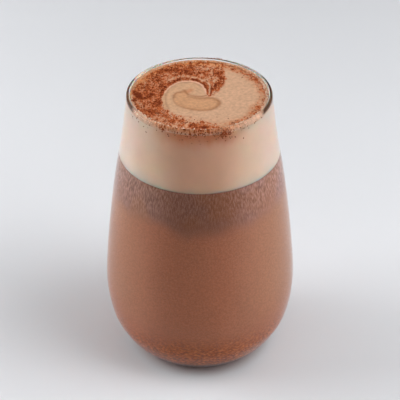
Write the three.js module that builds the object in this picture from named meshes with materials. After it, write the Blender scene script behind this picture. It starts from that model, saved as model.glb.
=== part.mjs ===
// Hot cocoa in a clear stemless tumbler, filled to the brim: milky cocoa, a band of
// dark cocoa above it, and a deep head of milk foam with a swirl and cocoa powder.
// Millimetres, +Z up, origin in the middle of the foot. The near side is towards -Y.
import * as THREE from "three";

// Glass
const glassHeight = 126.4;
const rimRadius = 30.4;
const wallThickness = 1.7;
const floorThickness = 4;
const floorFlatRadius = 19; // flat part of the inside floor
const cornerHeight = 8; // where the inside wall turns towards the floor
const puntDepth = 0.7; // shallow hollow under the foot
const puntRadius = 17;

// Outer radius of the glass at a few heights, from the flat foot to the belly and the neck
const outlineStations = [
  { height: 0, radius: 21.6 },
  { height: 1.6, radius: 27.2 },
  { height: 5, radius: 31.2 },
  { height: 11, radius: 35.7 },
  { height: 20, radius: 39.5 },
  { height: 35, radius: 41.4 },
  { height: 58, radius: 39.8 },
  { height: 84, radius: 36.6 },
  { height: 107.4, radius: 32.7 },
];

// Contents, by the heights at which one layer gives way to the next
const cocoaTop = 80;
const darkTop = 98;
const foamTop = 124.9; // level of the foam, just under the rim
const gap = 0.3; // between touching pieces

// Swirl on the foam, in shares of the rim's radius. The tongue and the browner blob inside it
// each have a spiral edge: its centre, its radius at the right, and its growth a radian.
const tongueSpiral = { centre: new THREE.Vector2(-0.098, 0.121), start: 0.19, growth: 0.283 };
const blobSpiral = { centre: new THREE.Vector2(-0.089, 0.036), start: 0.155, growth: 0.179 };
const tongueEnd = THREE.MathUtils.degToRad(308); // where the tongue runs out into open foam
const blobFrom = THREE.MathUtils.degToRad(121);
const blobTo = THREE.MathUtils.degToRad(350);
const edgeBlend = 0.05;
const tongueRise = 0.35;
const blobDip = 0.15;
const powderRise = 0.2; // powder lies outside the tongue, on the left and far sides
const powderReach = new THREE.Vector2(0.3, -0.55); // limits of the powder: right and near
const grainRelief = 0.16;
const calmMargin = 1.8; // the relief dies out this near the glass

// Facets
const glassSides = 64;
const foamSides = 84;
const foamRings = 17;
const lipSteps = 6;
const cornerSteps = 5;
const puntSteps = 4;
const stationSteps = 2;
const layerSteps = 3;

// The outer outline of the glass as a smooth curve through its stations up to the rim
const lipRadius = wallThickness / 2;
const lipHeight = glassHeight - lipRadius;
const outline = new THREE.SplineCurve([
  ...outlineStations.map(({ height, radius }) => new THREE.Vector2(radius, height)),
  new THREE.Vector2(rimRadius, lipHeight),
]);
const outlinePoints = outline.getPoints(outlineStations.length * stationSteps);
const fineOutline = outline.getPoints(400);

// Outer radius at a height, read off the outline
function outerRadius(height) {
  const next = fineOutline.findIndex((point) => point.y >= height);
  if (next <= 0) return fineOutline.at(next).x;
  const [low, high] = [fineOutline[next - 1], fineOutline[next]];
  return THREE.MathUtils.mapLinear(height, low.y, high.y, low.x, high.x);
}

// Radius of a surface that lies inside the outline by a thickness square to the wall
function innerRadius(height, thickness) {
  const step = 0.5;
  const below = outerRadius(Math.max(height - step, 0));
  const above = outerRadius(Math.min(height + step, lipHeight));
  const slope = (above - below) / (2 * step);
  return outerRadius(height) - thickness * Math.hypot(1, slope);
}

// Heights of the wall rings between two levels, both ends included
function wallHeights(bottom, top) {
  const margin = 1.2;
  const between = outlinePoints
    .map((point) => point.y)
    .filter((height) => height > bottom + margin && height < top - margin);
  return [bottom, ...between, top];
}

// Profile of the hollow, drawn in from the glass by a clearance: floor, corner and wall
function hollowProfile(clearance, top) {
  const thickness = wallThickness + clearance;
  const floor = floorThickness + clearance;
  const wallFoot = new THREE.Vector2(innerRadius(cornerHeight, thickness), cornerHeight);
  const wallSlope = innerRadius(cornerHeight + 1, thickness) - wallFoot.x;
  const cornerRadius = wallFoot.x - wallSlope * (cornerHeight - floor);
  const corner = new THREE.QuadraticBezierCurve(
    new THREE.Vector2(floorFlatRadius, floor),
    new THREE.Vector2(cornerRadius, floor),
    wallFoot,
  );
  const wall = wallHeights(cornerHeight, top)
    .slice(1)
    .map((height) => new THREE.Vector2(innerRadius(height, thickness), height));
  return [new THREE.Vector2(0, floor), ...corner.getPoints(cornerSteps), ...wall];
}

// A closed profile turned about the vertical axis
function turned(profile, sides) {
  const geometry = new THREE.LatheGeometry(profile, sides);
  geometry.rotateX(Math.PI / 2);
  return geometry;
}

function named(name, geometry, look) {
  const mesh = new THREE.Mesh(geometry, new THREE.MeshStandardMaterial(look));
  mesh.name = name;
  return mesh;
}

// Glass: up the outside, over the round lip and down the inside
function makeGlass() {
  const punt = [];
  for (let i = 0; i < puntSteps; i += 1) {
    const share = i / puntSteps;
    const height = puntDepth * 0.5 * (1 + Math.cos(Math.PI * share));
    punt.push(new THREE.Vector2(puntRadius * share, height));
  }
  punt.push(new THREE.Vector2(puntRadius, 0));

  const lip = [];
  const lipCentre = rimRadius - lipRadius;
  for (let i = 1; i < lipSteps; i += 1) {
    const angle = (Math.PI * i) / lipSteps;
    const radius = lipCentre + lipRadius * Math.cos(angle);
    lip.push(new THREE.Vector2(radius, lipHeight + lipRadius * Math.sin(angle)));
  }

  const inside = hollowProfile(0, lipHeight).reverse();
  const profile = [...punt, ...outlinePoints, ...lip, ...inside];
  return named("glass", turned(profile, glassSides), {
    color: "#e9eef0",
    roughness: 0.03,
    metalness: 0,
    transparent: true,
    opacity: 0.3,
  });
}

// A layer that fills the glass from one level to the next
function layerProfile(bottom, top) {
  const thickness = wallThickness + gap;
  const side = [];
  for (let i = 0; i <= layerSteps; i += 1) {
    const height = THREE.MathUtils.lerp(bottom, top, i / layerSteps);
    side.push(new THREE.Vector2(innerRadius(height, thickness), height));
  }
  return [new THREE.Vector2(0, bottom), ...side];
}

function makeCocoa() {
  const top = cocoaTop - gap / 2;
  const profile = [...hollowProfile(gap, top), new THREE.Vector2(0, top)];
  return named("cocoa", turned(profile, glassSides), {
    color: "#855440",
    roughness: 0.35,
    metalness: 0,
  });
}

function makeDarkCocoa() {
  const top = darkTop - gap / 2;
  const profile = [...layerProfile(cocoaTop + gap / 2, top), new THREE.Vector2(0, top)];
  return named("dark_cocoa", turned(profile, glassSides), {
    color: "#66453a",
    roughness: 0.35,
    metalness: 0,
  });
}

// How far a share lies past an edge, from 0 to 1 across the blend
function past(edge, value) {
  return THREE.MathUtils.smoothstep(value, edge - edgeBlend, edge + edgeBlend);
}

// Uneven powder: two crossed ripples that never line up with the facets
function grains(u, w) {
  const coarse = Math.sin(23 * u + 7 * w) * Math.sin(19 * w - 5 * u);
  const fine = Math.sin(41 * u - 17 * w + 1.3) * Math.sin(37 * w + 11 * u);
  return 0.6 * coarse + 0.4 * fine;
}

// How far a place lies within a spiral edge, between two turns about its centre
function within({ centre, start, growth }, from, to, u, w) {
  const offset = new THREE.Vector2(u, w).sub(centre);
  const turn = offset.angle();
  const edge = start * Math.exp(growth * turn);
  return (1 - past(edge, offset.length())) * past(from, turn) * (1 - past(to, turn));
}

// Relief of the foam's top at a place in plan, given in shares of the rim's radius
function foamRelief(u, w) {
  const tongue = within(tongueSpiral, -edgeBlend, tongueEnd, u, w);
  const blob = within(blobSpiral, blobFrom, blobTo, u, w);
  const powder = (1 - tongue) * (1 - past(powderReach.x, u)) * past(powderReach.y, w);
  return tongueRise * tongue - blobDip * blob + powder * (powderRise + grainRelief * grains(u, w));
}

// Foam: a plug with a plain side and a swirled, powdered top
function makeFoam() {
  const side = layerProfile(darkTop + gap / 2, foamTop);
  const foamRadius = side.at(-1).x;
  const top = [];
  for (let ring = foamRings - 1; ring >= 0; ring -= 1) {
    top.push(new THREE.Vector2((foamRadius * ring) / foamRings, foamTop));
  }
  const geometry = turned([...side, ...top], foamSides);
  const position = geometry.attributes.position;
  const tolerance = 0.01;
  for (let i = 0; i < position.count; i += 1) {
    if (position.getZ(i) < foamTop - tolerance) continue;
    const x = position.getX(i);
    const y = position.getY(i);
    const fromWall = foamRadius - Math.hypot(x, y);
    const inside = THREE.MathUtils.smoothstep(fromWall, 0, calmMargin);
    position.setZ(i, foamTop + inside * foamRelief(x / rimRadius, y / rimRadius));
  }
  geometry.computeVertexNormals();
  return named("foam", geometry, { color: "#d2ab8c", roughness: 0.8, metalness: 0 });
}

const drink = new THREE.Group();
drink.add(makeGlass(), makeCocoa(), makeDarkCocoa(), makeFoam());

export default drink;
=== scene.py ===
# Hot cocoa in a clear stemless tumbler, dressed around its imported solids. Metres, +Z up, near side -Y.
import math

import bpy
import numpy as np
from mathutils import Matrix, Vector


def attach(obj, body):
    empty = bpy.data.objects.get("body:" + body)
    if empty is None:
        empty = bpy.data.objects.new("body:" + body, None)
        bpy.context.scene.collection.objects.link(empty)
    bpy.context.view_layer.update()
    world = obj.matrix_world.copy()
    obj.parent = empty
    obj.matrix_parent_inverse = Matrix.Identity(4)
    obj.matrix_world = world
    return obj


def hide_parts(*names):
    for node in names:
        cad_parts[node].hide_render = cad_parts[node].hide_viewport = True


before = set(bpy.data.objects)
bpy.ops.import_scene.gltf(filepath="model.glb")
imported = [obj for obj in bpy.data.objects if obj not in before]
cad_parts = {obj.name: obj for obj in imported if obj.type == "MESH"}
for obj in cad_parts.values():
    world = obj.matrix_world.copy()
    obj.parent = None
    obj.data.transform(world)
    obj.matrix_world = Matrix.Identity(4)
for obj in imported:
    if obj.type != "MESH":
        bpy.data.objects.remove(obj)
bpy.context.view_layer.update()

mm = 0.001


# Shared outline of the glass, the same form as the solids

glass = {
    "stations": [  # height and outer radius in mm, foot to neck
        (0, 21.6), (1.6, 27.2), (5, 31.2), (11, 35.7), (20, 39.5),
        (35, 41.4), (58, 39.8), (84, 36.6), (107.4, 32.7),
    ],
    "height": 126.4,
    "rimRadius": 30.4,
    "wall": 1.7,
    "floor": 4.0,
    "floorFlat": 19.0,
    "cornerHeight": 8.0,
    "puntDepth": 0.7,
    "puntRadius": 17.0,
    "sides": 192,
    "lipSteps": 20,
}
layers = {
    "cocoaTop": 80.0,
    "darkTop": 98.0,
    "foamTop": 124.9,
    "topSkin": 1.2,  # depth of the separate powdered skin of the foam
    "intoWall": 0.35,  # how far the drink reaches into the glass, so that no air shows
    "sides": 180,
    "topSides": 420,
    "topRings": 150,
}


def catmullRom(points, steps, closed=False):
    p = np.asarray(points, float)
    if closed:
        p = np.vstack([p[-1], p, p[0], p[1]])
    else:
        p = np.vstack([p[0], p, p[-1]])
    t = (np.arange(steps) / steps)[:, None]
    rows = []
    for a, b, c, d in zip(p[:-3], p[1:-2], p[2:-1], p[3:]):
        v0 = (c - a) / 2
        v1 = (d - b) / 2
        rows.append((2 * b - 2 * c + v0 + v1) * t**3 + (3 * c - 3 * b - 2 * v0 - v1) * t**2 + v0 * t + b)
    if not closed:
        rows.append(p[-2][None])
    return np.vstack(rows)


lipRadius = glass["wall"] / 2
lipHeight = glass["height"] - lipRadius
lipCentre = glass["rimRadius"] - lipRadius
outlineHeights = [station[0] for station in glass["stations"]] + [lipHeight]
outlineRadii = [station[1] for station in glass["stations"]] + [glass["rimRadius"]]
outline = catmullRom(np.column_stack([outlineRadii, outlineHeights]), 16)


def outerRadius(height):
    return np.interp(height, outline[:, 1], outline[:, 0])


def innerRadius(height, thickness):
    step = 0.5
    slope = (outerRadius(height + step) - outerRadius(height - step)) / (2 * step)
    return outerRadius(height) - thickness * np.hypot(1, slope)


def wallProfile(bottom, top, clearance, step=1.2):
    heights = np.linspace(bottom, top, max(2, int((top - bottom) / step)))
    return [(float(innerRadius(h, glass["wall"] + clearance)), float(h)) for h in heights]


def hollowProfile(clearance, top):
    # floor, rounded corner and wall of the hollow, drawn in from the glass by the clearance
    thickness = glass["wall"] + clearance
    floor = glass["floor"] + clearance
    corner = glass["cornerHeight"]
    footRadius = innerRadius(corner, thickness)
    slope = innerRadius(corner + 1, thickness) - footRadius
    p0 = np.array([glass["floorFlat"], floor])
    p1 = np.array([footRadius - slope * (corner - floor), floor])
    p2 = np.array([footRadius, corner])
    t = np.linspace(0, 1, 14)[:, None]
    bend = (1 - t) ** 2 * p0 + 2 * t * (1 - t) * p1 + t**2 * p2
    flat = [(r, floor) for r in np.linspace(0, glass["floorFlat"], 8)[:-1]]
    return flat + [tuple(p) for p in bend] + wallProfile(corner, top, clearance)[1:]


def meshPiece(name, verts, faces, material):
    mesh = bpy.data.meshes.new(name)
    mesh.from_pydata(np.asarray(verts).tolist(), [], faces)
    mesh.validate()
    mesh.polygons.foreach_set("use_smooth", [True] * len(mesh.polygons))
    mesh.set_sharp_from_angle(angle=math.radians(50))
    mesh.materials.append(material)
    piece = bpy.data.objects.new(name, mesh)
    bpy.context.scene.collection.objects.link(piece)
    return piece


def turnedPiece(name, profile, sides, material):
    # a profile in mm, from the axis back to the axis, turned about Z
    ring = [p for p in profile if p[0] > 1e-6]
    start, end = profile[0], profile[-1]
    angles = np.arange(sides) * 2 * np.pi / sides
    r = np.array([p[0] for p in ring])[:, None]
    z = np.array([p[1] for p in ring])[:, None]
    verts = np.stack([r * np.cos(angles), r * np.sin(angles), z + 0 * angles], -1).reshape(-1, 3) * mm
    verts = np.vstack([verts, [[0, 0, start[1] * mm], [0, 0, end[1] * mm]]])
    first, last = len(verts) - 2, len(verts) - 1
    faces = []
    for row in range(len(ring) - 1):
        low, high = row * sides, (row + 1) * sides
        for k in range(sides):
            n = (k + 1) % sides
            faces.append((low + k, low + n, high + n, high + k))
    top = (len(ring) - 1) * sides
    for k in range(sides):
        n = (k + 1) % sides
        faces.append((first, n, k))
        faces.append((last, top + k, top + n))
    return meshPiece(name, verts, faces, material)


def dress(piece, node):
    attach(piece, "root")
    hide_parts(node)


# Small helpers for node materials

def newMaterial(name):
    material = bpy.data.materials.new(name)
    material.use_nodes = True
    nodes = material.node_tree.nodes
    return material, nodes, material.node_tree.links, nodes["Principled BSDF"]


def addNode(nodes, kind, **values):
    node = nodes.new(kind)
    for key, value in values.items():
        if key.startswith("in_"):
            node.inputs[key[3:].replace("_", " ")].default_value = value
        else:
            setattr(node, key, value)
    return node


def objectCoords(nodes, links, scale):
    coords = addNode(nodes, "ShaderNodeTexCoord")
    mapping = addNode(nodes, "ShaderNodeMapping")
    mapping.inputs["Scale"].default_value = scale
    links.new(coords.outputs["Object"], mapping.inputs["Vector"])
    return mapping.outputs["Vector"]


def noise(nodes, links, scale, vectorScale=(1, 1, 1), detail=3.0, roughness=0.55):
    node = addNode(nodes, "ShaderNodeTexNoise", in_Scale=scale, in_Detail=detail, in_Roughness=roughness)
    links.new(objectCoords(nodes, links, vectorScale), node.inputs["Vector"])
    return node.outputs["Fac"]


def mapRange(nodes, links, value, low, high, toLow=0.0, toHigh=1.0, smooth=True):
    node = addNode(nodes, "ShaderNodeMapRange")
    node.interpolation_type = "SMOOTHSTEP" if smooth else "LINEAR"
    node.inputs["From Min"].default_value = low
    node.inputs["From Max"].default_value = high
    node.inputs["To Min"].default_value = toLow
    node.inputs["To Max"].default_value = toHigh
    links.new(value, node.inputs["Value"])
    return node.outputs["Result"]


def maths(nodes, links, operation, a, b=None, c=None, clamp=False):
    node = addNode(nodes, "ShaderNodeMath", operation=operation, use_clamp=clamp)
    for socket, value in zip(node.inputs, (a, b, c)):
        if value is None:
            continue
        if isinstance(value, (int, float)):
            socket.default_value = value
        else:
            links.new(value, socket)
    return node.outputs[0]


def mixColour(nodes, links, factor, a, b, blend="MIX"):
    node = addNode(nodes, "ShaderNodeMix", data_type="RGBA", blend_type=blend)
    for socket, value in ((node.inputs[0], factor), (node.inputs[6], a), (node.inputs[7], b)):
        if isinstance(value, (int, float)):
            socket.default_value = value
        elif isinstance(value, tuple):
            socket.default_value = (*value, 1)
        else:
            links.new(value, socket)
    return node.outputs[2]


def splitPlace(nodes, links):
    # X, Y and Z of a place on the piece, in metres
    coords = addNode(nodes, "ShaderNodeTexCoord")
    split = addNode(nodes, "ShaderNodeSeparateXYZ")
    links.new(coords.outputs["Object"], split.inputs[0])
    return split.outputs["X"], split.outputs["Y"], split.outputs["Z"]


def times(nodes, links, colour, factor):
    return mixColour(nodes, links, 1.0, colour, factor, "MULTIPLY")


def tinted(nodes, links, share, colour, tint):
    return mixColour(nodes, links, share, colour, times(nodes, links, colour, tint))


def mottled(nodes, links, colour, scale, spread, detail=2.0, vectorScale=(1, 1, 1)):
    # slightly uneven brightness
    cloud = noise(nodes, links, scale, vectorScale, detail=detail)
    bright = mapRange(nodes, links, cloud, 0.3, 0.7, 1 - spread, 1 + spread, smooth=False)
    return times(nodes, links, colour, bright)


def slantLight(nodes, links, colour, pale):
    # painted light: a tint where the surface is seen at a slant, on all but the strip facing the camera,
    # standing in for the side lights' reflection in the glass and the stronger light on the sides
    slant = addNode(nodes, "ShaderNodeLayerWeight", in_Blend=0.5)
    share = mapRange(nodes, links, slant.outputs["Facing"], 0.08, 0.26)
    return tinted(nodes, links, share, colour, pale)


def makeTranslucent(shader, reach):
    shader.subsurface_method = "RANDOM_WALK"
    shader.inputs["Subsurface Weight"].default_value = 1.0
    shader.inputs["Subsurface Radius"].default_value = tuple(reach)
    shader.inputs["Subsurface Scale"].default_value = 1.0


def addBump(nodes, links, shader, height, strength, distance):
    bump = addNode(nodes, "ShaderNodeBump", in_Strength=strength, in_Distance=distance)
    links.new(height, bump.inputs["Height"])
    links.new(bump.outputs["Normal"], shader.inputs["Normal"])


# Glass

glassLook = {
    "colour": (0.993, 0.986, 0.980),
    "roughness": 0.0,
    "ior": 1.42,
    "reflection": (0.08, 0.08, 0.08),  # weaker mirror image of the floor on the belly
    "lipShade": (0.050, 0.022, 0.012),  # painted shade: dark brown on the lip at the far left and right, standing in for dark surroundings seen through the lip
    "lipShadeBeside": (0.0262, 0.0276),
    "lipShadeShift": 0.0005,
    "lipShadeOut": (0.0290, 0.0295),
    "lipShadeHeight": (0.1248, 0.1254),
    "foot": (0.30, 0.25, 0.235),  # painted shade: the glass darkens at the foot, where the contact shadow falls
    "footShadeHeight": (0.0018, 0.0055),
}


def makeGlassMaterial():
    material, nodes, links, shader = newMaterial("clearGlass")
    x, y, z = splitPlace(nodes, links)
    # painted shade: a dark brown tint on the lip at the far left and right, where dark surroundings show
    # through the lip
    uneven = maths(nodes, links, "MULTIPLY", noise(nodes, links, 260.0, detail=2.0), 0.0010)
    shifted = maths(nodes, links, "ADD", x, glassLook["lipShadeShift"])
    aside = maths(nodes, links, "ADD", maths(nodes, links, "ABSOLUTE", shifted), uneven)
    across = maths(nodes, links, "MULTIPLY", x, x)
    across = maths(nodes, links, "MULTIPLY_ADD", y, y, across)
    out = mapRange(nodes, links, maths(nodes, links, "SQRT", across), *glassLook["lipShadeOut"])
    lipShade = mapRange(nodes, links, aside, *glassLook["lipShadeBeside"])
    lipShade = maths(nodes, links, "MULTIPLY", lipShade, mapRange(nodes, links, z, *glassLook["lipShadeHeight"]))
    lipShade = maths(nodes, links, "MULTIPLY", lipShade, out)
    # painted shade: the glass is tinted darker at the foot, where the contact shadow falls
    aboveFoot = mapRange(nodes, links, z, *glassLook["footShadeHeight"])
    colour = mixColour(nodes, links, aboveFoot, glassLook["foot"], glassLook["colour"])
    colour = mixColour(nodes, links, lipShade, colour, glassLook["lipShade"])
    links.new(colour, shader.inputs["Base Color"])
    shader.inputs["Roughness"].default_value = glassLook["roughness"]
    shader.inputs["IOR"].default_value = glassLook["ior"]
    shader.inputs["Specular Tint"].default_value = (*glassLook["reflection"], 1)
    shader.inputs["Transmission Weight"].default_value = 1.0
    return material


def makeGlass():
    punt = []
    for share in np.linspace(0, 1, 9):
        height = glass["puntDepth"] * 0.5 * (1 + math.cos(math.pi * share))
        punt.append((glass["puntRadius"] * share, height))
    outside = [tuple(p) for p in outline]
    lip = []
    for angle in np.linspace(0, math.pi, glass["lipSteps"] + 1)[1:-1]:
        lip.append((lipCentre + lipRadius * math.cos(angle), lipHeight + lipRadius * math.sin(angle)))
    inside = hollowProfile(0, lipHeight)[::-1]
    piece = turnedPiece("tumbler", punt + outside + lip + inside, glass["sides"], makeGlassMaterial())
    dress(piece, "glass")
    return piece


makeGlass()
print("glass made")


# Cocoa and the dark band share one look that changes with height

cocoaLook = {
    "milky": (0.548, 0.222, 0.129),
    # painted light at a slant, standing in for the side lights reflected in the glass
    "milkySlantLight": (0.97, 1.07, 1.04),
    "milkyBeside": (1.03, 1.11, 1.17),  # tints towards the left and right, which lie in more light
    # painted light: brighter towards the right, where the lights are stronger
    "milkyLitRight": (1.0, 1.05, 1.07),
    "sediment": (0.49, 0.116, 0.020),
    "sedimentSpark": (0.74, 0.24, 0.06),
    # painted shade at the very bottom, where the contact shadow falls
    "bottom": (0.085, 0.036, 0.024),
    "dark": (0.345, 0.160, 0.112),
    "darkWarm": (0.372, 0.158, 0.092),
    # painted light at a slant on the dark band, standing in for the side lights reflected in the glass
    "darkSlantLight": (1.06, 1.01, 0.98),
    # painted light: the next two tints lift the dark band towards the lit left and right, and more on the
    # right
    "darkLitBeside": (1.22, 1.46, 1.62),
    "darkLitRight": (1.07, 1.06, 1.12),
    "fleck": (0.50, 0.26, 0.19),  # fine pale dashes in the dark band
    "fade": (0.0775, 0.0860),  # the dark band fades out between these heights
    "fadeWave": 0.010,
    "fadeDip": 0.003,
    "dashSize": 2250.0,
    "dashLength": 0.20,  # less is longer
    "dashHeight": (0.077, 0.095),  # the dashes grow stronger between these heights
    "dashStrength": (0.18, 0.80),
    "speckSize": 1300.0,
    "gritSize": 800.0,
    "sedimentTop": 0.032,
    "bottomShadeHeight": (0.0058, 0.0098),
    "roughness": 0.55,
}


def makeCocoaMaterial(name):
    material, nodes, links, shader = newMaterial(name)
    x, y, height = splitPlace(nodes, links)
    aside = maths(nodes, links, "ABSOLUTE", x)
    beside = mapRange(nodes, links, aside, 0.008, 0.024)
    right = mapRange(nodes, links, x, 0.006, 0.020)

    # the dark band ends in a soft wavy edge, lowest at the near side
    wave = maths(nodes, links, "SUBTRACT", noise(nodes, links, 45.0, detail=3.0), 0.5)
    dip = mapRange(nodes, links, aside, 0.004, 0.022, cocoaLook["fadeDip"], 0.0)
    dip = maths(nodes, links, "MULTIPLY", dip, maths(nodes, links, "LESS_THAN", y, 0.0))
    shifted = maths(nodes, links, "MULTIPLY_ADD", wave, cocoaLook["fadeWave"], height)
    band = mapRange(nodes, links, maths(nodes, links, "ADD", shifted, dip), *cocoaLook["fade"])

    # fine pale dashes hang in it, and fade out lower down
    dash = noise(nodes, links, cocoaLook["dashSize"], (1, 1, cocoaLook["dashLength"]), detail=0.0)
    strength = mapRange(nodes, links, height, *cocoaLook["dashHeight"], *cocoaLook["dashStrength"])
    besideMore = maths(nodes, links, "MULTIPLY_ADD", beside, 0.35, 0.65)
    strength = maths(nodes, links, "MULTIPLY", strength, besideMore)
    pale = maths(nodes, links, "MULTIPLY", mapRange(nodes, links, dash, 0.46, 0.74), strength)
    shade = mapRange(nodes, links, dash, 0.24, 0.52, 0.60, 1.0)
    tint = mapRange(nodes, links, noise(nodes, links, 70.0, detail=1.0), 0.4, 0.6)
    dark = mixColour(nodes, links, tint, cocoaLook["dark"], cocoaLook["darkWarm"])
    dark = tinted(nodes, links, strength, dark, shade)
    dark = mixColour(nodes, links, pale, dark, cocoaLook["fleck"])
    # painted light: the dark band is tinted paler towards the lit left and right, and more on the right
    dark = tinted(nodes, links, beside, dark, cocoaLook["darkLitBeside"])
    dark = tinted(nodes, links, right, dark, cocoaLook["darkLitRight"])
    # painted light: the dark band is tinted where it is seen at a slant
    dark = slantLight(nodes, links, dark, cocoaLook["darkSlantLight"])

    speck = noise(nodes, links, cocoaLook["speckSize"], detail=1.0, roughness=0.5)
    speckled = mapRange(nodes, links, speck, 0.35, 0.65, 0.92, 1.08, smooth=False)
    milky = mottled(nodes, links, cocoaLook["milky"], 60.0, 0.04, 3.0, (1, 1, 0.5))
    milky = times(nodes, links, milky, speckled)
    plain = milky
    # painted light: the milky cocoa is tinted paler towards the lit left and right, and more on the right
    milky = tinted(nodes, links, beside, milky, cocoaLook["milkyBeside"])
    milky = tinted(nodes, links, right, milky, cocoaLook["milkyLitRight"])
    # painted light: the milky cocoa is tinted where it is seen at a slant
    milky = slantLight(nodes, links, milky, cocoaLook["milkySlantLight"])
    milky = mixColour(nodes, links, mapRange(nodes, links, height, 0.018, 0.046), plain, milky)

    # fine cocoa settles low in the glass
    lifted = maths(nodes, links, "MULTIPLY_ADD", wave, 0.008, height)
    settle = mapRange(nodes, links, lifted, 0.012, cocoaLook["sedimentTop"], 1.0, 0.0)
    grit = noise(nodes, links, cocoaLook["gritSize"], (1, 1, 1.4), detail=0.0)
    gritty = mapRange(nodes, links, grit, 0.26, 0.50, 0.50, 1.0, smooth=False)
    sediment = times(nodes, links, cocoaLook["sediment"], gritty)
    sparks = mapRange(nodes, links, grit, 0.56, 0.74, 0.0, 0.85)
    sediment = mixColour(nodes, links, sparks, sediment, cocoaLook["sedimentSpark"])
    milky = mixColour(nodes, links, settle, milky, sediment)
    # painted shade: much darker at the very bottom, where the contact shadow falls
    low = mapRange(nodes, links, height, *cocoaLook["bottomShadeHeight"], 1.0, 0.0)
    milky = mixColour(nodes, links, low, milky, cocoaLook["bottom"])

    colour = mixColour(nodes, links, band, milky, dark)
    links.new(colour, shader.inputs["Base Color"])
    shader.inputs["Roughness"].default_value = cocoaLook["roughness"]
    shader.inputs["Specular IOR Level"].default_value = 0.0
    return material


def makeCocoa():
    top = layers["cocoaTop"]
    profile = hollowProfile(-layers["intoWall"], top) + [(0, top)]
    piece = turnedPiece("milkyCocoa", profile, layers["sides"], makeCocoaMaterial("milkyCocoa"))
    dress(piece, "cocoa")


def makeDarkBand():
    bottom, top = layers["cocoaTop"], layers["darkTop"]
    profile = [(0, bottom)] + wallProfile(bottom, top, -layers["intoWall"]) + [(0, top)]
    piece = turnedPiece("darkBand", profile, layers["sides"], makeCocoaMaterial("darkCocoa"))
    dress(piece, "dark_cocoa")


makeCocoa()
makeDarkBand()
print("cocoa layers made")


# Foam: a smooth body and a powdered, swirled top skin

foamLook = {
    "side": (0.81, 0.528, 0.376),
    # painted light at a slant on the foam's side, standing in for the side lights reflected in the glass
    "sideSlantLight": (1.00, 1.08, 1.20),
    # painted light: the next two tints lift the foam's side towards the lit left and right, and just above
    # the dark band
    "sideLitBeside": (1.05, 1.18, 1.25),
    "sideLitLow": (1.10, 1.12, 1.15),
    "stain": (0.70, 0.225, 0.085),  # powder washed down behind the near side of the lip
    "bare": (0.66, 0.392, 0.245),
    "tongue": (0.645, 0.375, 0.218),
    "blob": (0.635, 0.335, 0.175),
    "blobEdge": (0.40, 0.175, 0.08),
    "rimLight": (0.86, 0.50, 0.36),
    "line": (0.40, 0.19, 0.10),
    "smear": (0.60, 0.25, 0.12),
    "stained": (0.57, 0.205, 0.088),  # foam tinted by the powder on it
    "amber": (0.80, 0.315, 0.095),  # wet foam by the far and left wall
    "edge": (0.92, 0.58, 0.40),
    "edgeNear": (0.85, 0.38, 0.18),
    "ringStain": (0.56, 0.26, 0.125),  # soft brown patches along the right wall
    "powder": (0.57, 0.128, 0.030),
    "powderDark": (0.20, 0.028, 0.005),
    "powderFine": 1500.0,
    "powderCoarse": 640.0,
    "roughness": 0.75,
    "reach": (0.004, 0.002, 0.0012),  # how far light travels in the foam, by colour
}

# Outlines on the foam in shares of the rim's radius, seen from above: to the right, and away
swirl = {
    "tongue": [  # outer edge of the light tongue, from its tip round the far side to the left
        (0.104, 0.036), (0.101, 0.114), (0.086, 0.182), (0.038, 0.295), (-0.049, 0.376),
        (-0.151, 0.404), (-0.255, 0.383), (-0.351, 0.317), (-0.433, 0.208), (-0.489, 0.064),
        (-0.508, -0.086), (-0.49, -0.262), (-0.428, -0.414), (-0.34, -0.532),
    ],
    "blob": [  # browner middle
        (-0.202, 0.133), (-0.259, 0.092), (-0.316, 0.066), (-0.35, -0.031), (-0.348, -0.138),
        (-0.316, -0.231), (-0.262, -0.292), (-0.199, -0.343), (-0.098, -0.39), (0.015, -0.41),
        (0.14, -0.4), (0.23, -0.332), (0.283, -0.227), (0.262, -0.132), (0.2, -0.078),
        (0.124, -0.061), (0.029, -0.069), (-0.066, -0.055), (-0.148, -0.019),
    ],
    "hook": [  # right-hand edge of the powder, from the far side in to the tip
        (0.349, 0.909), (0.345, 0.61), (0.353, 0.387), (0.302, 0.222), (0.24, 0.1), (0.172, -0.002),
        (0.124, -0.048),
    ],
    "closing": [(0.0, -0.6), (0.55, -0.58), (0.9, -0.2), (0.9, 0.3), (0.5, 1.1)],
    "eye": (-0.1, 0.06),
}
curlPath = [
    (0.104, 0.036), (0.092, -0.005), (0.054, -0.026), (0.002, -0.036), (-0.061, -0.025), (-0.137, 0.008),
    (-0.176, 0.067), (-0.201, 0.133),
]
paintStrokes = [  # colour, share, half width, path
    ("line", 0.50, 0.014, [
        (0.04, 0.22), (-0.04, 0.31), (-0.11, 0.34), (-0.2, 0.35), (-0.31, 0.32),
        (-0.39, 0.23), (-0.44, 0.1), (-0.46, -0.06), (-0.45, -0.22), (-0.42, -0.35),
    ]),
    ("blobEdge", 0.60, 0.022, [(-0.35, -0.07), (-0.33, 0.03), (-0.29, 0.08), (-0.23, 0.09), (-0.19, 0.14)]),
    ("smear", 0.80, 0.035, [(-0.17, 0.09), (-0.13, 0.12), (-0.11, 0.14)]),
    ("blobEdge", 0.85, 0.015, curlPath),
]
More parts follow.
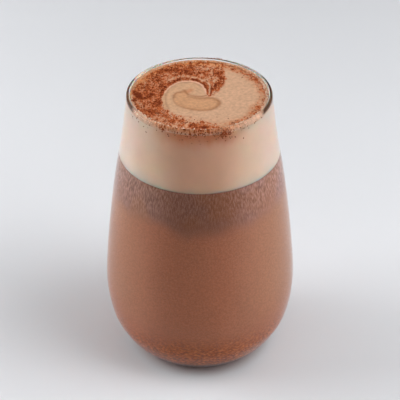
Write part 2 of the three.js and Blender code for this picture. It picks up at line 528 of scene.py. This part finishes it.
powderStrokes = [  # more or less powder, half width, path
    (0.50, 0.014, [
        (-0.54, -0.22), (-0.53, -0.03), (-0.51, 0.15), (-0.45, 0.27), (-0.37, 0.37), (-0.27, 0.44),
        (-0.18, 0.46), (-0.07, 0.44), (0.0, 0.38), (0.07, 0.27), (0.11, 0.16), (0.12, 0.04),
    ]),
    (0.30, 0.016, [(-0.30, 0.435), (-0.18, 0.465), (-0.07, 0.445)]),
    (0.70, 0.020, [(0.24, 0.31), (0.22, 0.24), (0.19, 0.17)]),
    (0.50, 0.045, [(0.25, 0.61), (0.29, 0.55), (0.31, 0.48)]),
    (0.45, 0.013, [(0.19, 0.33), (0.17, 0.21), (0.16, 0.09), (0.14, -0.02)]),
    (0.25, 0.022, [(0.35, 0.46), (0.33, 0.35), (0.29, 0.23), (0.24, 0.12), (0.18, 0.02)]),
    (0.30, 0.012, [(0.02, 0.38), (0.07, 0.32), (0.11, 0.22), (0.12, 0.11)]),
    (0.55, 0.045, [(-0.89, 0.13), (-0.86, 0.07), (-0.82, 0.0), (-0.77, -0.07), (-0.71, -0.06)]),
    (0.30, 0.060, [(-0.54, 0.69), (-0.4, 0.73), (-0.26, 0.67), (-0.15, 0.61)]),
    (-0.34, 0.024, [
        (-0.45, 0.38), (-0.39, 0.46), (-0.3, 0.52), (-0.21, 0.53), (-0.11, 0.52), (-0.02, 0.48),
        (0.04, 0.41),
    ]),
    (-0.65, 0.013, [(0.13, 0.35), (0.145, 0.24), (0.14, 0.13), (0.13, 0.02)]),
    (-0.50, 0.016, [(0.2, 0.42), (0.2, 0.32), (0.19, 0.22)]),
    (-0.40, 0.016, [(0.21, 0.11), (0.17, 0.03)]),
]
powderPlan = {
    "left": 0.56,
    "front": 0.38,
    "ring": 0.34,
    "edgeWidth": 0.018,
    "clumps": [  # denser places: right, away, reach, more
        (-0.62, 0.49, 0.12, 0.22), (-0.70, 0.05, 0.11, 0.22), (-0.66, -0.40, 0.09, 0.30),
        (-0.60, -0.22, 0.07, 0.26), (-0.45, 0.70, 0.12, 0.22), (-0.20, 0.68, 0.12, 0.26),
        (0.08, 0.62, 0.07, 0.26), (0.05, -0.82, 0.10, 0.60), (-0.10, -0.78, 0.06, 0.42),
        (0.76, 0.41, 0.06, 0.40), (0.48, 0.65, 0.07, 0.40), (-0.37, -0.66, 0.06, 0.42),
        (-0.22, -0.69, 0.05, 0.26), (-0.44, -0.56, 0.05, 0.26), (0.55, -0.66, 0.12, 0.16),
        (0.79, -0.41, 0.08, 0.14), (0.91, -0.20, 0.05, 0.22),
    ],
    "gaps": [  # thinner places
        (-0.45, 0.50, 0.07, 0.16), (-0.55, -0.58, 0.10, 0.12), (0.12, 0.75, 0.10, 0.20),
        (-0.68, 0.33, 0.06, 0.16), (0.20, -0.64, 0.10, 0.14), (-0.80, 0.45, 0.10, 0.22),
        (-0.80, -0.22, 0.07, 0.22), (0.16, 0.48, 0.06, 0.18),
    ],
}


def distanceTo(path, points):
    # least distance from each point to a chain of short edges
    best = np.full(len(points), 9.0)
    for a, b in zip(path[:-1], path[1:]):
        edge = b - a
        t = np.clip(((points - a) @ edge) / max(edge @ edge, 1e-12), 0, 1)
        away = np.linalg.norm(points - a - t[:, None] * edge, axis=1)
        best = np.minimum(best, away)
    return best


def insideOf(path, points):
    inside = np.zeros(len(points), bool)
    for a, b in zip(path, np.roll(path, -1, axis=0)):
        if abs(b[1] - a[1]) < 1e-12:
            continue
        crosses = (a[1] > points[:, 1]) != (b[1] > points[:, 1])
        at = a[0] + (points[:, 1] - a[1]) / (b[1] - a[1]) * (b[0] - a[0])
        inside ^= crosses & (points[:, 0] < at)
    return inside


def smoothStep(low, high, value):
    t = np.clip((value - low) / (high - low), 0, 1)
    return t * t * (3 - 2 * t)


def bell(value, centre, width):
    return np.exp(-(((value - centre) / width) ** 2))


def lerpColour(a, b, share):
    return np.asarray(a) + (np.asarray(b) - np.asarray(a)) * share[:, None]


def patches(points, scale, seed):
    # smooth value noise from -1 to 1 on a seeded lattice
    lattice = np.random.default_rng(seed).uniform(-1, 1, (64, 64))
    grid = points * scale + 1000.0
    cell = np.floor(grid).astype(int)
    t = grid - cell
    t = t * t * (3 - 2 * t)
    i, j = cell[:, 0] % 63, cell[:, 1] % 63
    near = lattice[i, j] * (1 - t[:, 0]) + lattice[i + 1, j] * t[:, 0]
    far = lattice[i, j + 1] * (1 - t[:, 0]) + lattice[i + 1, j + 1] * t[:, 0]
    return near * (1 - t[:, 1]) + far * t[:, 1]


def layeredPatches(points, scale, seed, octaves=3):
    total = np.zeros(len(points))
    weight = 0.0
    for k in range(octaves):
        share = 0.6**k
        total += share * patches(points * 2.03**k, scale, seed + k)
        weight += share
    return total / weight


swirlPaths = {
    "tongue": catmullRom(swirl["tongue"], 8),
    "curl": catmullRom(curlPath, 8),
    "blob": catmullRom(swirl["blob"], 8, closed=True),
    "hook": catmullRom(swirl["hook"], 8),
}


def strokeShare(points, path, width, seed):
    # 1 along the middle of a soft stroke that swells and thins along its way
    away = distanceTo(catmullRom(path, 6), points)
    swell = 1 + 0.45 * patches(points, 14, seed)
    return bell(away, 0.0, width * swell)


def foamSurface(points):
    # height above the foam's level in mm, base colour and powder at places in plan
    tongue, curl, blob, hook = (swirlPaths[key] for key in ("tongue", "curl", "blob", "hook"))
    u, v = points[:, 0], points[:, 1]
    radius = np.linalg.norm(points, axis=1)
    around = np.arctan2(v, u)
    fromEye = points - np.array(swirl["eye"])
    turn = np.arctan2(fromEye[:, 1], fromEye[:, 0])

    clean = insideOf(np.vstack([tongue, swirl["closing"], hook]), points)
    fromTongue = distanceTo(tongue, points)
    fromHook = distanceTo(hook, points)
    fromFront = distanceTo(np.vstack([tongue[-1:], swirl["closing"][:3]]), points)
    outside = np.where(clean, -1.0, 1.0) * np.minimum(np.minimum(fromTongue, fromHook), fromFront)
    intoBlob = np.where(insideOf(blob, points), 1.0, -1.0) * distanceTo(np.vstack([blob, blob[:1]]), points)

    # powder: everywhere left of the tongue and the hook, patchy in front and round the wall
    ragged = 0.020 * layeredPatches(points, 22, 3)
    width = powderPlan["edgeWidth"]
    sharp = np.where(fromTongue < fromHook, 0.25, 1.9) * smoothStep(-0.5, -0.3, v)
    sharp += 2.6 * smoothStep(-0.3, -0.5, v)
    softness = 1 + 2.5 * smoothStep(-0.05, -0.40, v) + 1.8 * (fromHook < fromTongue)
    left = powderPlan["left"] * smoothStep(-width * softness, width * softness, outside + ragged * sharp)
    left *= 1 - 0.35 * smoothStep(-0.3, -0.62, v) * smoothStep(-0.75, -0.45, u)
    left *= 1 - 0.20 * smoothStep(0.25, 0.60, v)
    left *= smoothStep(0.52, 0.36, u) * (1 - smoothStep(-0.30, 0.10, u) * smoothStep(-0.35, -0.55, v))
    broad = layeredPatches(points, 6, 21)
    front = powderPlan["front"] * smoothStep(-0.50, -0.90, v + 0.12 * broad) * smoothStep(0.85, 0.3, u)
    ring = powderPlan["ring"] * smoothStep(0.72, 0.93, radius + 0.06 * broad)
    powder = np.maximum(left, np.maximum(front, ring))
    present = smoothStep(0.05, 0.3, powder)
    for x, y, reach, more in powderPlan["clumps"]:
        powder += more * np.exp(-((u - x) ** 2 + (v - y) ** 2) / reach**2) * present
    for x, y, reach, less in powderPlan["gaps"]:
        powder -= less * np.exp(-((u - x) ** 2 + (v - y) ** 2) / reach**2) * present
    along = np.column_stack([fromTongue * 2.6, turn * 0.35])
    streaks = layeredPatches(along, 26, 41) * smoothStep(0.35, 0.15, fromTongue) * smoothStep(-0.2, 0.1, v)
    blotches = layeredPatches(points * np.array([1.0, 0.62]), 24, 31)
    powder += present * (0.36 * blotches + 0.20 * streaks)
    for k, (more, reach, path) in enumerate(powderStrokes):
        mark = strokeShare(points, path, reach, 91 + k)
        powder += more * mark * (np.where(clean, 0.3, 1.0) if more > 0 else 1.0)
    powder *= 1 - 0.25 * smoothStep(0.84, 0.91, radius) * smoothStep(0.1, 0.5, v - 0.4 * u)
    nearSide = smoothStep(-0.45, -0.8, v) * smoothStep(0.75, 0.3, np.abs(u + 0.05))
    powder *= 1 - smoothStep(0.935, 0.95, radius) * (1 - 0.65 * nearSide)
    dashes = patches(np.column_stack([around * 29, 0 * u]), 2.2, 81)
    powder += 0.18 * nearSide * smoothStep(0.92, 0.95, radius) * smoothStep(-0.4, 0.5, dashes + 0.4)
    powder = np.clip(powder, 0, 1.2)

    # colour under the powder
    paint = np.tile(np.array(foamLook["bare"]), (len(points), 1))
    onTongue = smoothStep(0.25, -0.15, u) * smoothStep(-0.6, -0.2, v) * smoothStep(0.02, -0.02, outside)
    paint = lerpColour(paint, foamLook["tongue"], onTongue)
    onBlob = smoothStep(-0.02, 0.03, intoBlob)
    paint = lerpColour(paint, foamLook["blob"], onBlob)
    lowerRight = smoothStep(-0.25, 0.25, u - 0.8 * v)
    softEdge = 0.75 * bell(intoBlob, 0.014, 0.030) * lowerRight
    thinEdge = 0.50 * bell(intoBlob, 0.0, 0.014) * (1 - lowerRight)
    paint = lerpColour(paint, foamLook["blobEdge"], softEdge + thinEdge)
    for k, (key, share, reach, path) in enumerate(paintStrokes):
        paint = lerpColour(paint, foamLook[key], share * strokeShare(points, path, reach, 131 + k))
    within = np.where(clean, fromTongue, -fromTongue)
    paint = lerpColour(paint, foamLook["rimLight"], 0.9 * bell(within, 0.016, 0.014) * bell(turn, 1.6, 1.9))
    far = smoothStep(0.80, 0.90, radius + 0.03 * broad) * smoothStep(0.5, -0.3, u - 0.3 * v)
    rightWall = smoothStep(0.74, 0.90, radius + 0.07 * broad) * smoothStep(0.1, 0.4, u)
    patchy = np.clip(0.55 + 0.75 * layeredPatches(points, 15, 57), 0, 1)
    paint = lerpColour(paint, foamLook["ringStain"], 0.95 * rightWall * patchy)
    paint = lerpColour(paint, foamLook["stained"], np.clip(powder * 1.5 - 0.05, 0, 0.95))
    paint = lerpColour(paint, foamLook["amber"], 0.65 * far * smoothStep(-0.2, 0.3, v))
    atWall = smoothStep(0.932, 0.95, radius)
    paint = lerpColour(paint, foamLook["edge"], atWall * (1 - np.clip(powder, 0, 0.6)))
    paint = lerpColour(paint, foamLook["edgeNear"], 0.95 * atWall * nearSide)
    paint *= 1 + (0.16 * atWall * dashes)[:, None]
    paint *= 1 + (0.06 * layeredPatches(points, 34, 51) + 0.05 * layeredPatches(points, 9, 55))[:, None]

    height = 0.25 * smoothStep(0.03, -0.03, outside)
    height += -0.10 * onBlob - 0.16 * bell(distanceTo(curl, points), 0, 0.02)
    height += 0.10 * powder + 0.16 * powder * layeredPatches(points, 34, 61)
    height *= 1 - smoothStep(0.86, 0.93, radius)
    creep = 0.45 + 0.35 * smoothStep(0.1, 0.6, v) + 0.12 * dashes
    height += creep * smoothStep(0.915, 0.95, radius)  # the foam creeps up the glass a little
    return height, paint, powder


def makeFoamSideMaterial():
    material, nodes, links, shader = newMaterial("milkFoam")
    x, y, z = splitPlace(nodes, links)
    colour = mottled(nodes, links, foamLook["side"], 120.0, 0.03, 3.0)
    # powder runs a little way down behind the near side of the lip
    ragged = maths(nodes, links, "MULTIPLY", noise(nodes, links, 320.0, (1, 1, 0.6), detail=3.0), 0.005)
    high = mapRange(nodes, links, maths(nodes, links, "ADD", z, ragged), 0.1185, 0.1275)
    near = mapRange(nodes, links, y, -0.021, -0.029)
    stained = maths(nodes, links, "MULTIPLY", maths(nodes, links, "MULTIPLY", high, near), 0.85)
    colour = mixColour(nodes, links, stained, colour, foamLook["stain"])
    # painted light: paler towards the lit left and right, and just above the dark band to lift the shade
    # there
    beside = mapRange(nodes, links, maths(nodes, links, "ABSOLUTE", x), 0.006, 0.018)
    low = mapRange(nodes, links, z, 0.099, 0.114, 1.0, 0.0)
    low = maths(nodes, links, "MULTIPLY", low, maths(nodes, links, "MULTIPLY_ADD", beside, 0.6, 0.4))
    colour = tinted(nodes, links, beside, colour, foamLook["sideLitBeside"])
    colour = tinted(nodes, links, low, colour, foamLook["sideLitLow"])
    # painted light: the foam's side is tinted where it is seen at a slant
    links.new(slantLight(nodes, links, colour, foamLook["sideSlantLight"]), shader.inputs["Base Color"])
    shader.inputs["Roughness"].default_value = foamLook["roughness"]
    shader.inputs["Specular IOR Level"].default_value = 0.0
    makeTranslucent(shader, foamLook["reach"])
    return material


def makeFoamTopMaterial():
    material, nodes, links, shader = newMaterial("powderedFoam")
    paint = addNode(nodes, "ShaderNodeAttribute", attribute_name="paint")
    powder = addNode(nodes, "ShaderNodeAttribute", attribute_name="powder")
    fine = noise(nodes, links, foamLook["powderFine"], (1, 0.75, 1), detail=1.0, roughness=0.5)
    coarse = noise(nodes, links, foamLook["powderCoarse"], (1, 0.70, 1), detail=1.0, roughness=0.5)
    grain = maths(nodes, links, "ADD", maths(nodes, links, "MULTIPLY", fine, 0.95),
                  maths(nodes, links, "MULTIPLY", coarse, 0.85))
    lifted = maths(nodes, links, "ADD", grain, maths(nodes, links, "MULTIPLY", powder.outputs["Fac"], 0.42))
    cover = mapRange(nodes, links, lifted, 0.94, 1.24)
    depth = mapRange(nodes, links, lifted, 1.12, 1.46)
    powderColour = mixColour(nodes, links, depth, foamLook["powder"], foamLook["powderDark"])
    base = mottled(nodes, links, paint.outputs["Color"], 750.0, 0.12)
    seen = maths(nodes, links, "MULTIPLY", cover, mapRange(nodes, links, powder.outputs["Fac"], 0.02, 0.25))
    colour = mixColour(nodes, links, seen, base, powderColour)
    links.new(colour, shader.inputs["Base Color"])
    shader.inputs["Roughness"].default_value = foamLook["roughness"]
    shader.inputs["Specular IOR Level"].default_value = 0.2
    relief = maths(nodes, links, "MULTIPLY", grain, powder.outputs["Fac"])
    addBump(nodes, links, shader, relief, 0.6, 0.0004)
    return material


def makeFoamBody(material):
    bottom, top = layers["darkTop"], layers["foamTop"] - layers["topSkin"]
    profile = [(0, bottom)] + wallProfile(bottom, top, -layers["intoWall"]) + [(0, top)]
    piece = turnedPiece("foamBody", profile, layers["sides"], material)
    dress(piece, "foam")


def makeFoamTop():
    sides, rings = layers["topSides"], layers["topRings"]
    top = layers["foamTop"]
    under = top - layers["topSkin"]
    outer = float(innerRadius(top, glass["wall"] - layers["intoWall"]))
    underRadius = float(innerRadius(under, glass["wall"] - layers["intoWall"]))
    angles = np.arange(sides) * 2 * np.pi / sides
    radii = outer * np.linspace(0, 1, rings + 1)[1:] ** 0.9
    x = np.append((radii[:, None] * np.cos(angles)).ravel(), 0)
    y = np.append((radii[:, None] * np.sin(angles)).ravel(), 0)
    height, paint, powder = foamSurface(np.column_stack([x, y]) / glass["rimRadius"])
    verts = np.column_stack([x, y, top + height])
    lowX, lowY = underRadius * np.cos(angles), underRadius * np.sin(angles)
    low = np.column_stack([lowX, lowY, np.full(sides, under)])
    verts = np.vstack([verts, low, [[0, 0, under]]]) * mm
    centre = rings * sides
    lowStart = centre + 1
    lowCentre = lowStart + sides
    edge = (rings - 1) * sides
    faces = []
    for k in range(sides):
        n = (k + 1) % sides
        faces.append((centre, k, n))
        for ring in range(rings - 1):
            a, b = ring * sides, (ring + 1) * sides
            faces.append((a + k, b + k, b + n, a + n))
        faces.append((edge + k, lowStart + k, lowStart + n, edge + n))
        faces.append((lowCentre, lowStart + n, lowStart + k))
    piece = meshPiece("foamTop", verts, faces, makeFoamTopMaterial())

    mesh = piece.data
    count = len(mesh.vertices)
    paintAll = np.ones((count, 4))
    paintAll[:, :3] = foamLook["side"]
    paintAll[: len(paint), :3] = paint
    powderAll = np.zeros(count)
    powderAll[: len(powder)] = powder
    paintAll[lowStart: lowStart + sides, :3] = foamLook["side"]
    powderAll[lowStart: lowStart + sides] = 0.4 * powder[edge: edge + sides]
    mesh.attributes.new("paint", "FLOAT_COLOR", "POINT").data.foreach_set("color", paintAll.ravel())
    mesh.attributes.new("powder", "FLOAT", "POINT").data.foreach_set("value", powderAll)
    dress(piece, "foam")


makeFoamBody(makeFoamSideMaterial())
makeFoamTop()
print("foam made")


# Loose powder grains on the foam, the lip and the outside of the glass

grainLook = {
    "count": 4200,
    "radius": (0.10, 0.24),  # mm
    "radiusOnGlass": (0.12, 0.30),
    "light": (0.38, 0.080, 0.022),
    "dark": (0.13, 0.022, 0.006),
    "roughness": 0.9,
}
# Single grains on the glass: azimuth from the near side in degrees, spread, height, spread, number
glassGrains = [
    (19, 3.0, 124.2, 1.0, 110), (6, 10, 124.6, 0.6, 50), (-18, 13, 124.2, 0.7, 30), (40, 8, 124.4, 0.5, 9),
    (-38, 8, 123.6, 1.2, 8), (-60, 5, 123.5, 1.0, 6), (168, 4, 126.3, 0.2, 14), (10, 20, 122.0, 1.2, 12),
]


def smallBlobs(name, centres, radii, tones, material, seed, squash=1.0):
    # many rough pebbles in one mesh, each a bent icosahedron
    golden = (1 + 5**0.5) / 2
    base = []
    for a in (-1, 1):
        for b in (-golden, golden):
            base += [(0, a, b), (a, b, 0), (b, 0, a)]
    base = np.array(base) / np.linalg.norm(base[0])
    near = 1.2
    faces = []
    for i in range(12):
        for j in range(12):
            for k in range(12):
                if i < j and i < k and j != k:
                    a, b, c = base[i], base[j], base[k]
                    close = max(np.linalg.norm(a - b), np.linalg.norm(b - c), np.linalg.norm(a - c)) < near
                    if close and np.dot(np.cross(b - a, c - a), a) > 0:
                        faces.append((i, j, k))
    draw = np.random.default_rng(seed)
    count = len(centres)
    shape = base[None] * draw.uniform(0.7, 1.25, (count, 12, 1)) * np.asarray(radii)[:, None, None]
    spin = draw.uniform(0, 2 * np.pi, count)
    turned = shape.copy()
    turned[..., 0] = shape[..., 0] * np.cos(spin)[:, None] - shape[..., 1] * np.sin(spin)[:, None]
    turned[..., 1] = shape[..., 0] * np.sin(spin)[:, None] + shape[..., 1] * np.cos(spin)[:, None]
    turned[..., 2] *= squash
    verts = (np.asarray(centres)[:, None] + turned).reshape(-1, 3) * mm
    offsets = np.arange(count)[:, None, None] * 12
    allFaces = (np.array(faces)[None] + offsets).reshape(-1, 3).tolist()
    piece = meshPiece(name, verts, allFaces, material)
    piece.data.attributes.new("tone", "FLOAT", "POINT").data.foreach_set("value", np.repeat(tones, 12))
    return piece


def makeGrainMaterial():
    material, nodes, links, shader = newMaterial("cocoaPowder")
    tone = addNode(nodes, "ShaderNodeAttribute", attribute_name="tone")
    colour = mixColour(nodes, links, tone.outputs["Fac"], grainLook["light"], grainLook["dark"])
    links.new(mottled(nodes, links, colour, 4000.0, 0.2), shader.inputs["Base Color"])
    shader.inputs["Roughness"].default_value = grainLook["roughness"]
    shader.inputs["Specular IOR Level"].default_value = 0.2
    return material


def makeGrains():
    draw = np.random.default_rng(17)
    tries = draw.uniform(-1, 1, (grainLook["count"] * 8, 2))
    tries = tries[np.linalg.norm(tries, axis=1) < 0.93]
    height, _, powder = foamSurface(tries)
    clumps = 0.5 + 0.5 * layeredPatches(tries, 30, 71)
    keep = draw.uniform(0, 1, len(tries)) < powder**1.6 * clumps**1.5 * 1.6
    tries = tries[keep][:grainLook["count"]]
    height = height[keep][:grainLook["count"]]
    radii = draw.uniform(*grainLook["radius"], len(tries))
    centres = np.column_stack([tries * glass["rimRadius"], layers["foamTop"] + height + 0.2 * radii])
    lie = []
    for azimuth, spread, level, levelSpread, count in glassGrains:
        angle = np.radians(draw.normal(azimuth, spread, count) - 90)
        z = np.minimum(draw.normal(level, levelSpread, count), glass["height"] - 0.1)
        r = np.array([outerRadius(min(h, lipHeight)) for h in z])
        over = np.clip((z - lipHeight) / lipRadius, 0, 1)
        r = np.where(over > 0, lipCentre + lipRadius * np.sqrt(1 - over**2), r)
        lie.append(np.column_stack([r * np.cos(angle), r * np.sin(angle), z]))
    lie = np.vstack(lie)
    centres = np.vstack([centres, lie])
    radii = np.append(radii, draw.uniform(*grainLook["radiusOnGlass"], len(lie)))
    tones = draw.uniform(0, 1, len(centres)) ** 0.8
    tones[-len(lie):] *= 0.6
    piece = smallBlobs("powderGrains", centres, radii, tones, makeGrainMaterial(), 18)
    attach(piece, "root")
    print("grains", len(centres))


makeGrains()


# Small bubbles along the wall

bubbleLook = {
    "count": 620,
    "radius": (0.16, 0.42),
    "colour": (0.90, 0.64, 0.47),
    "amber": (0.75, 0.36, 0.15),
    "roughness": 0.18,
}


def makeBubbleMaterial():
    material, nodes, links, shader = newMaterial("edgeBubbles")
    tone = addNode(nodes, "ShaderNodeAttribute", attribute_name="tone")
    colour = mixColour(nodes, links, tone.outputs["Fac"], bubbleLook["colour"], bubbleLook["amber"])
    links.new(mottled(nodes, links, colour, 900.0, 0.08), shader.inputs["Base Color"])
    shader.inputs["Roughness"].default_value = bubbleLook["roughness"]
    return material


def makeBubbles():
    draw = np.random.default_rng(27)
    count = bubbleLook["count"]
    angle = draw.uniform(0, 2 * np.pi, count)
    radii = draw.uniform(*bubbleLook["radius"], count)
    wall = float(innerRadius(layers["foamTop"] + 0.4, glass["wall"]))
    r = wall - radii - np.abs(draw.normal(0, 0.35, count))
    z = layers["foamTop"] + 0.42 + draw.uniform(-0.1, 0.25, count)
    centres = np.column_stack([r * np.cos(angle), r * np.sin(angle), z])
    tones = smoothStep(-0.2, 0.6, np.sin(angle) - 0.5 * np.cos(angle)) * draw.uniform(0.4, 1, count)
    piece = smallBlobs("edgeBubbles", centres, radii, tones, makeBubbleMaterial(), 28)
    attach(piece, "root")


makeBubbles()
print("bubbles made")


# Floor, light and camera

studio = {
    "floorColour": (0.80, 0.815, 0.848),
    "floorContactShade": (0.72, 0.50, 0.45),  # painted contact shadow: warm dark tint of the floor close to the foot, with the light bounced off the cocoa
    "contactShadeReach": (0.0235, 0.0335),
    "floorSize": 3.0,
    "worldLow": (0.012, 0.012, 0.0125),
    "worldHigh": (0.004, 0.004, 0.0045),
    "aim": 0.06,
    "lights": [  # place, width and height, power
        {"name": "rightLow", "place": (0.80, -0.15, 0.26), "size": (0.55, 0.45), "power": 2.85},
        {"name": "rightFront", "place": (0.70, -0.40, 0.40), "size": (0.55, 0.60), "power": 1.75},
        {"name": "rightBack", "place": (0.70, 0.35, 0.42), "size": (0.55, 0.60), "power": 0.7},
        {"name": "rightHigh", "place": (0.50, -0.15, 0.78), "size": (0.55, 0.60), "power": 3.55},
        {"name": "leftLow", "place": (-0.80, 0.05, 0.26), "size": (0.55, 0.45), "power": 4.2},
        {"name": "leftSide", "place": (-0.80, 0.08, 0.42), "size": (0.55, 0.60), "power": 1.8},
        {"name": "leftBack", "place": (-0.70, 0.36, 0.42), "size": (0.55, 0.60), "power": 1.9},
        {"name": "topBack", "place": (0.0, 0.45, 0.95), "size": (0.90, 0.60), "power": 0.6},
        {"name": "top", "place": (0.0, 0.0, 1.05), "size": (0.90, 0.60), "power": 0.9},
    ],
}
camera = {
    "elevation": 34.08,
    "distance": 0.700,
    "target": 0.07266,
    "focalPixels": 1617.3,
    "pictureWidth": 400,
    "sensor": 36.0,
    "roll": -0.2,  # degrees
    "shift": 0.0007,
}


def makeFloor():
    size = studio["floorSize"]
    verts = [(-size, -size, 0), (size, -size, 0), (size, size, 0), (-size, size, 0)]
    material, nodes, links, shader = newMaterial("paleFloor")
    colour = mottled(nodes, links, studio["floorColour"], 6.0, 0.01)
    coords = addNode(nodes, "ShaderNodeTexCoord")
    span = addNode(nodes, "ShaderNodeVectorMath", operation="LENGTH")
    links.new(coords.outputs["Object"], span.inputs[0])
    # painted contact shadow: the floor darkens and warms close to the foot
    away = mapRange(nodes, links, span.outputs["Value"], *studio["contactShadeReach"])
    contactShade = times(nodes, links, colour, studio["floorContactShade"])
    links.new(mixColour(nodes, links, away, contactShade, colour), shader.inputs["Base Color"])
    shader.inputs["Roughness"].default_value = 0.7
    shader.inputs["Specular IOR Level"].default_value = 0.2
    floor = meshPiece("floor", verts, [(0, 1, 2, 3)], material)


def makeLight(light):
    data = bpy.data.lights.new(light["name"], "AREA")
    data.shape = "RECTANGLE"
    data.size, data.size_y = light["size"]
    data.energy = light["power"]
    lamp = bpy.data.objects.new(light["name"], data)
    bpy.context.scene.collection.objects.link(lamp)
    lamp.location = light["place"]
    aim = Vector((0, 0, studio["aim"])) - lamp.location
    lamp.rotation_euler = aim.to_track_quat("-Z", "Y").to_euler()


def makeWorld():
    world = bpy.data.worlds.new("studio")
    bpy.context.scene.world = world
    world.use_nodes = True
    nodes, links = world.node_tree.nodes, world.node_tree.links
    coords = addNode(nodes, "ShaderNodeTexCoord")
    split = addNode(nodes, "ShaderNodeSeparateXYZ")
    links.new(coords.outputs["Generated"], split.inputs[0])
    up = mapRange(nodes, links, split.outputs["Z"], 0.1, 0.8)
    colour = mixColour(nodes, links, up, studio["worldLow"], studio["worldHigh"])
    links.new(colour, nodes["Background"].inputs["Color"])


def makeCamera():
    data = bpy.data.cameras.new("camera")
    data.sensor_width = camera["sensor"]
    data.sensor_fit = "HORIZONTAL"
    data.lens = camera["focalPixels"] * camera["sensor"] / camera["pictureWidth"]
    data.shift_x = camera["shift"]
    data.clip_start = 0.01
    eye = bpy.data.objects.new("camera", data)
    bpy.context.scene.collection.objects.link(eye)
    tilt = math.radians(camera["elevation"])
    reach = camera["distance"]
    eye.location = (0, -reach * math.cos(tilt), camera["target"] + reach * math.sin(tilt))
    tilted = Matrix.Rotation(math.pi / 2 - tilt, 3, "X")
    rolled = Matrix.Rotation(math.radians(camera["roll"]), 3, "Z")
    eye.rotation_euler = (tilted @ rolled).to_euler()
    bpy.context.scene.camera = eye


makeFloor()
for light in studio["lights"]:
    makeLight(light)
makeWorld()
makeCamera()
bpy.context.scene.view_settings.view_transform = "Standard"
print("studio made")
